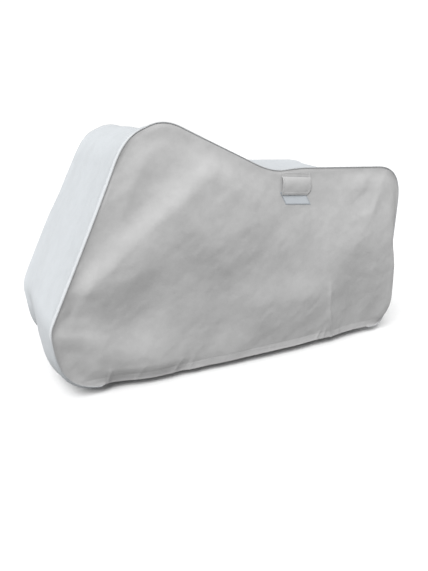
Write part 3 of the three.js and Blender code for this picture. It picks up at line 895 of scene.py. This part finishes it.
def new_node(tree, kind, settings=None, **inputs):
    """A new node; each input is a value or a socket to link, with _ for a blank in its name."""
    node = tree.nodes.new(kind)
    for key, value in (settings or {}).items():
        setattr(node, key, value)
    for key, value in inputs.items():
        socket = node.inputs[key.replace("_", " ")]
        if isinstance(value, bpy.types.NodeSocket):
            tree.links.new(value, socket)
        else:
            socket.default_value = value
    return node


def new_material(name, roughness, sheen):
    material = bpy.data.materials.new(name)
    material.use_nodes = True
    tree = material.node_tree
    shader = tree.nodes["Principled BSDF"]
    shader.inputs["Roughness"].default_value = roughness
    shader.inputs["Sheen Weight"].default_value = sheen
    return material, tree, shader


def two_greys(tree, factor, dark, light):
    ramp = new_node(tree, "ShaderNodeValToRGB", Fac=factor)
    for stop, place, tone in zip(ramp.color_ramp.elements, TONE_STOPS, (dark, light)):
        stop.color = (*tone, 1)
        stop.position = place
    return ramp.outputs["Color"]


def add_border_and_highlight(tree, colour, border):
    """Blends an edge band's tone into a colour by the distance to the sewn edge: the tag's darker border, and
    the painted highlight along the strip's seams.
    """
    near = new_node(tree, "ShaderNodeAttribute", {"attribute_name": "edge"}).outputs["Fac"]
    limits = {"From_Min": border.width * BORDER_AND_HIGHLIGHT_FADE, "From_Max": border.width}
    fade = new_node(tree, "ShaderNodeMapRange", Value=near, **limits)
    mix = new_node(tree, "ShaderNodeMix", {"data_type": "RGBA"}, Factor=fade.outputs["Result"])
    mix.inputs[MIX_NEAR].default_value = (*border.tone, 1)
    tree.links.new(colour, mix.inputs[MIX_FAR])
    return mix.outputs[MIX_RESULT]


def bump_normal(tree, height, strength, depth, **under):
    """Normal of a bump, over a coarser one where that is given."""
    bump = new_node(tree, "ShaderNodeBump", Height=height, Strength=strength, Distance=depth, **under)
    return bump.outputs["Normal"]


def woven(tree, pitch, under):
    """Bump of a plain weave, over a coarser bump."""
    cloth = new_node(tree, "ShaderNodeAttribute", {"attribute_name": "cloth"}).outputs["Vector"]
    both = new_node(tree, "ShaderNodeMath", {"operation": "MAXIMUM"})
    for way, socket in zip("XY", both.inputs):
        wave = {"Vector": cloth, "Scale": WAVE_PERIOD / pitch}
        threads = new_node(tree, "ShaderNodeTexWave", {"bands_direction": way}, **wave)
        tree.links.new(threads.outputs["Fac"], socket)
    return bump_normal(tree, both.outputs[0], WEAVE_STRENGTH, WEAVE_DEPTH, Normal=under)


def cloth_material(finish):
    """A woven cloth of two close tones, with another tone along its edge where it has one: a darker border on
    the tag, a painted highlight along the strip's seams.
    """
    material, tree, shader = new_material(finish.name, finish.roughness, finish.sheen)
    place = new_node(tree, "ShaderNodeTexCoord").outputs["Object"]
    mottle = new_node(tree, "ShaderNodeTexNoise", Vector=place, **MOTTLE)
    colour = two_greys(tree, mottle.outputs["Fac"], finish.dark, finish.light)
    # The strip's edge band is a painted highlight; the tag's is its own darker border
    if finish.border is not None:
        colour = add_border_and_highlight(tree, colour, finish.border)
    tree.links.new(colour, shader.inputs["Base Color"])
    creased = new_node(tree, "ShaderNodeTexNoise", Vector=place, **CRUMPLE)
    soft = bump_normal(tree, creased.outputs["Fac"], finish.crumple, CRUMPLE_DEPTH)
    tree.links.new(woven(tree, finish.pitch, soft), shader.inputs["Normal"])
    return material


def build_camera():
    data = bpy.data.cameras.new("camera")
    data.lens = CAMERA_LENS
    data.sensor_width = SENSOR
    data.dof.use_dof = False
    camera = bpy.data.objects.new("camera", data)
    camera.location = CAMERA_PLACE
    camera.rotation_euler = (radians(90 - CAMERA_PITCH), 0, radians(-CAMERA_YAW))
    bpy.context.scene.collection.objects.link(camera)
    bpy.context.scene.camera = camera


def build_stage():
    low = -(ORIGIN[2] + FLOOR_BELOW_HEM) * MM
    corners = [(-1, -1), (1, -1), (1, 1), (-1, 1)]
    points = np.array([(a * FLOOR_REACH, b * FLOOR_REACH, low) for a, b in corners])
    floor = mesh_object("floor", points, np.array(((0, 1, 2, 3),)), {})
    floor.visible_diffuse = False
    material, tree, shader = new_material("floor", FLOOR_ROUGHNESS, 0.0)
    place = new_node(tree, "ShaderNodeTexCoord").outputs["Object"]
    grain = new_node(tree, "ShaderNodeTexNoise", Vector=place, **FLOOR_GRAIN)
    tree.links.new(two_greys(tree, grain.outputs["Fac"], *FLOOR_TONES), shader.inputs["Base Color"])
    floor.data.materials.append(material)


def build_sky():
    world = bpy.data.worlds.new("studio")
    bpy.context.scene.world = world
    world.use_nodes = True
    tree = world.node_tree
    place = new_node(tree, "ShaderNodeTexCoord").outputs["Generated"]
    split = new_node(tree, "ShaderNodeSeparateXYZ", Vector=place)
    height = new_node(tree, "ShaderNodeMapRange", Value=split.outputs["Z"], From_Min=-1.0)
    ramp = new_node(tree, "ShaderNodeValToRGB", Fac=height.outputs["Result"])
    stops = ramp.color_ramp.elements
    while len(stops) < len(SKY):
        stops.new(NEW_STOP)
    for stop, row in zip(stops, SKY):
        stop.position = row.height
        stop.color = (row.level, row.level, row.level, 1)
    tree.links.new(ramp.outputs["Color"], tree.nodes["Background"].inputs["Color"])


def add_lamp(name, kind, energy, source):
    data = bpy.data.lights.new(name, kind)
    data.energy = energy
    lamp = bpy.data.objects.new(name, data)
    lamp.rotation_euler = Vector(source).to_track_quat("Z", "Y").to_euler()
    bpy.context.scene.collection.objects.link(lamp)
    return lamp


def build_light():
    build_sky()
    sun = add_lamp("sun", "SUN", SUN_STRENGTH, SUN_FROM)
    sun.data.angle = radians(SUN_SPREAD)
    fill = add_lamp("fill", "AREA", FILL_POWER, FILL_FROM)
    fill.data.size = FILL_SIZE
    fill.location = FILL_PLACE
    bpy.context.scene.view_settings.view_transform = "Standard"


def finish_piece(piece, material, slot, *nodes):
    piece.data.materials.append(material)
    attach(piece, BODY)
    for node in nodes:
        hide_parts(node)


build_camera()
build_stage()
build_light()
materials = {finish.name: cloth_material(finish) for finish in FINISHES}
left_panel = Panel(LEFT, LEFT_FOLDS, LEFT_CREASES, LEFT_HEM, LEFT_UNEVENNESS)
right_panel = Panel(RIGHT, RIGHT_FOLDS, RIGHT_CREASES, RIGHT_HEM, RIGHT_UNEVENNESS)

left, left_sewing = side_panel("cover_side_left", left_panel)
finish_piece(left, materials["panel_cloth"], "panel_cloth", "side_panel_left")
right, right_sewing = side_panel("cover_side_right", right_panel)
finish_piece(right, materials["panel_cloth"], "panel_cloth", "side_panel_right")
strip, strip_sewing = centre_strip()
finish_piece(strip, materials["strip_cloth"], "strip_cloth", "centre_strip")
for name, side in (("left", LEFT), ("right", RIGHT)):
    finish_piece(piping("cover_piping_" + name, side), materials["piping_tape"], "piping", "piping_" + name)
flap, flap_sewing = vent_flap(left_panel)
finish_piece(flap, materials["panel_cloth"], "panel_cloth", "vent_flap")
tag, tag_sewing = bare_tag(left_panel)
finish_piece(tag, materials["tag_weave"], "tag", "tag")
for piece in (left_sewing, right_sewing, flap_sewing):
    finish_piece(piece, materials["thread"], "panel_cloth")
finish_piece(strip_sewing, materials["thread"], "strip_cloth")
finish_piece(tag_sewing, materials["thread"], "tag")
